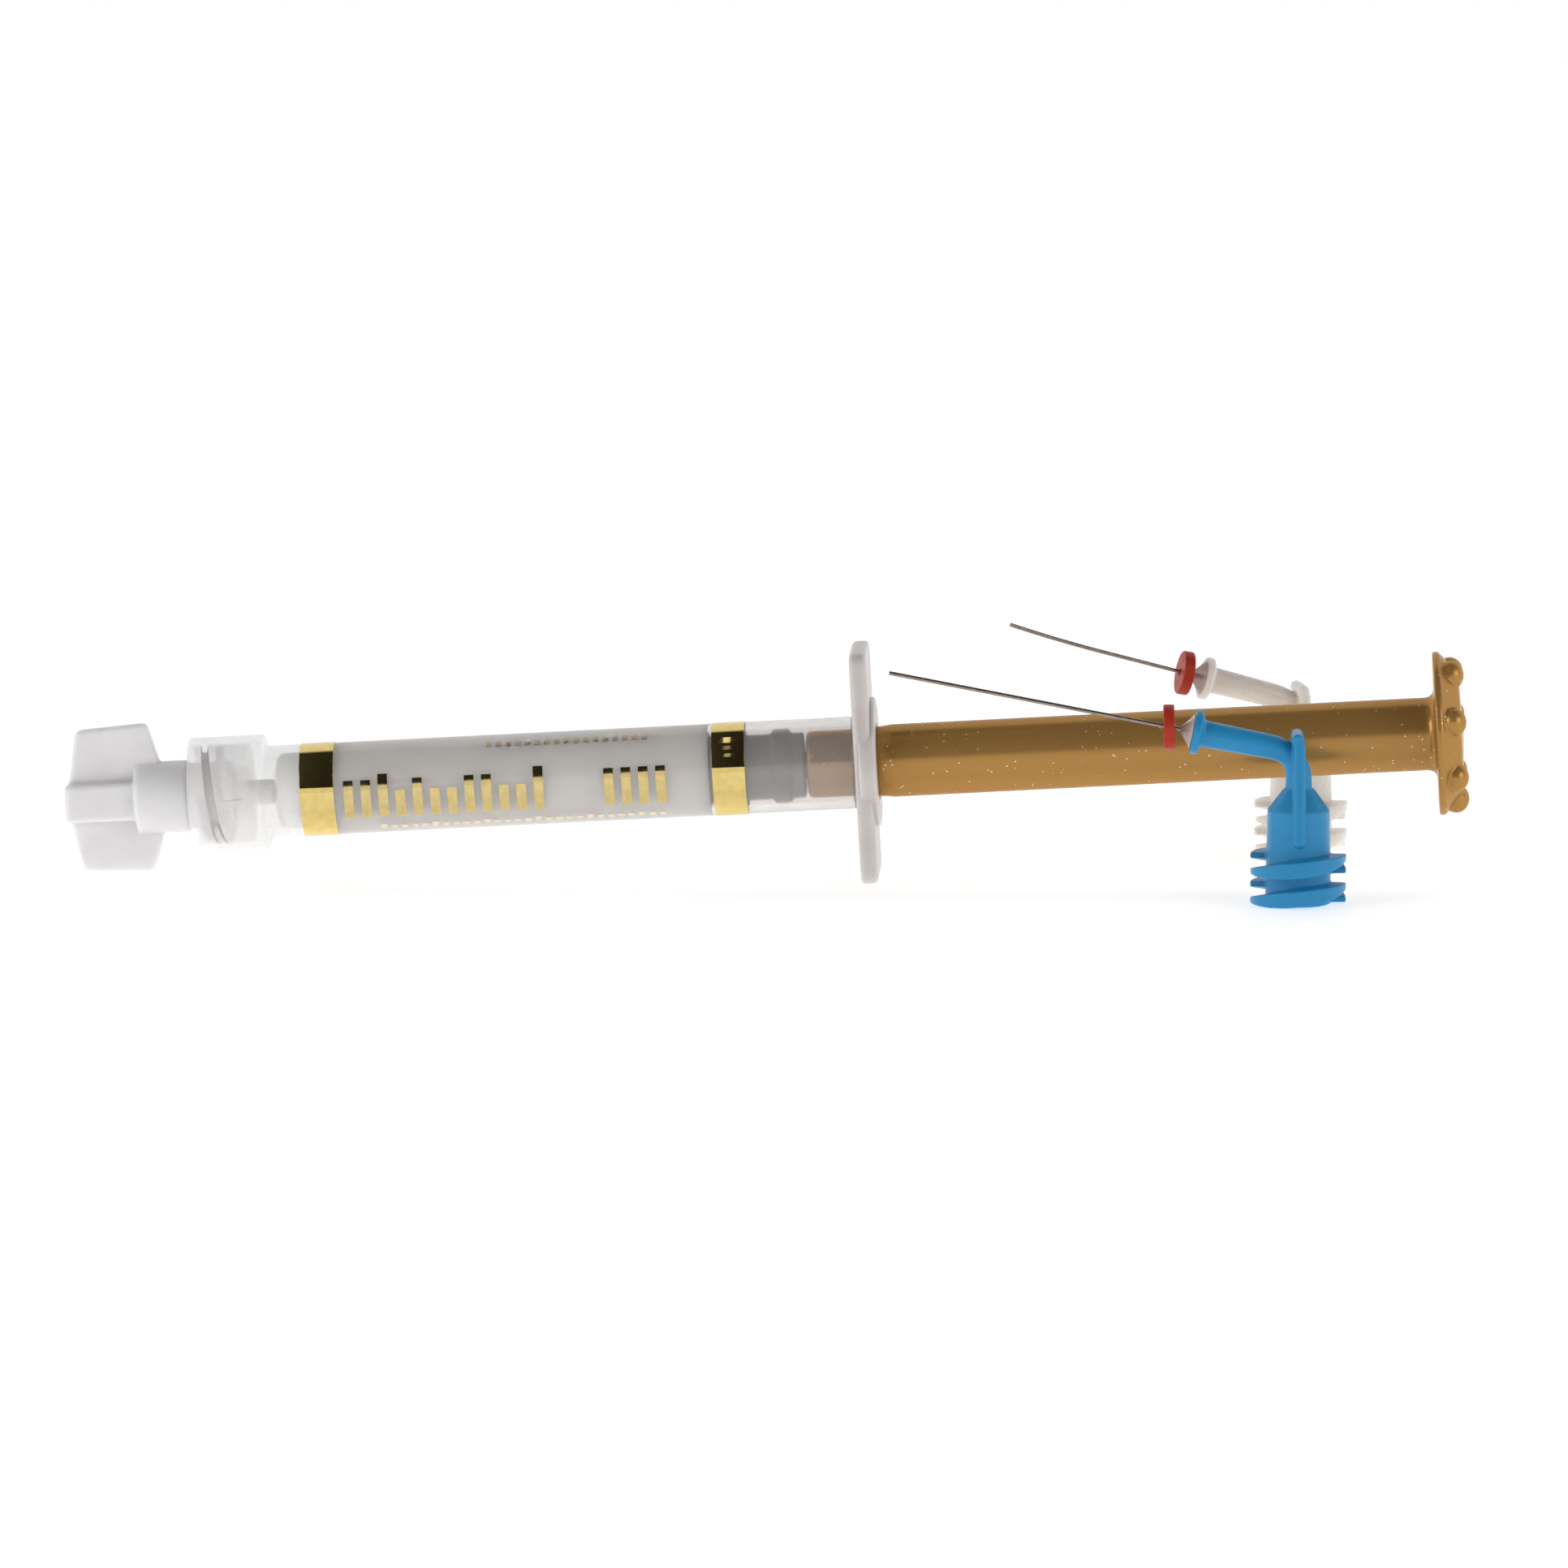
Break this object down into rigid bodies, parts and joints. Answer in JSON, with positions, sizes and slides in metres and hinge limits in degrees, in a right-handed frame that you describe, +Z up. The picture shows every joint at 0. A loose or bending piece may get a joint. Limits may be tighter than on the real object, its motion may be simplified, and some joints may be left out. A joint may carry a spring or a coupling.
{
  "type": "prefilled dental paste syringe",
  "caption": "Prefilled dental paste syringe with a winged screw cap, clear threaded collar and bronze plunger, with two bent delivery tips standing on their hubs.",
  "frame": {"origin": "centre of the whole set's footprint, on the table", "axes": "+X from the syringe's cap to its thumb pad, +Y from the blue tip to the white tip, +Z up"},
  "size_m": [0.1154, 0.0346, 0.0197],
  "materials": {
    "cap_plastic": "satin",
    "barrel_plastic": "translucent",
    "paste": "matt",
    "stopper_rubber": "satin",
    "plunger_plastic": "pearl",
    "gold_foil": "polished",
    "blue_plastic": "satin",
    "white_plastic": "translucent",
    "clear_plastic": "clear",
    "cannula_steel": "polished",
    "stop_silicone": "satin"
  },
  "bodies": {
    "barrel": {"barrel": "barrel_plastic", "paste_charge": "paste", "foil_band_front": "gold_foil", "foil_band_rear": "gold_foil"},
    "cap_plug": {"cap_paste_plug": "paste"},
    "cap": {"cap": "cap_plastic"},
    "plunger": {"plunger_stopper": "stopper_rubber", "plunger_rod": "plunger_plastic"},
    "blue_tip": {"blue_hub": "blue_plastic", "blue_nose_cone": "clear_plastic", "blue_cannula": "cannula_steel"},
    "blue_stop": {"blue_depth_stop": "stop_silicone"},
    "white_tip": {"white_hub": "white_plastic", "white_nose_cone": "clear_plastic", "white_cannula": "cannula_steel"},
    "white_stop": {"white_depth_stop": "stop_silicone"}
  },
  "joints": [
    {"name": "plunger_slide", "type": "slide", "parent": "barrel", "child": "plunger", "axis": [-0.9984, 0, -0.0574], "range_m": [-0.0035, 0.0344], "deforming": ["paste_charge"]},
    {"name": "cap_travel", "type": "slide", "parent": "barrel", "child": "cap_plug", "axis": [-0.9984, 0, -0.0574], "range_m": [0, 0.01]},
    {"name": "cap_unscrew", "type": "hinge", "parent": "cap_plug", "child": "cap", "pos_m": [-0.04764, -0.0024, 0.00637], "axis": [-0.9984, 0, -0.0574], "range_deg": [0, 1440]},
    {"name": "blue_lift", "type": "slide", "parent": "barrel", "child": "blue_tip", "axis": [0, 0, 1], "range_m": [0, 0.04]},
    {"name": "blue_stop_slide", "type": "slide", "parent": "blue_tip", "child": "blue_stop", "axis": [-0.9821, -0.0171, 0.1874], "range_m": [0, 0.02]},
    {"name": "white_lift", "type": "slide", "parent": "barrel", "child": "white_tip", "axis": [0, 0, 1], "range_m": [0, 0.04]},
    {"name": "white_stop_slide", "type": "slide", "parent": "white_tip", "child": "white_stop", "axis": [-0.9426, -0.2004, 0.2672], "range_m": [0, 0.009]}
  ],
  "couplings": [
    {"joint": "cap_unscrew", "follows": "cap_travel", "rad_per_m": 2513.3}
  ]
}
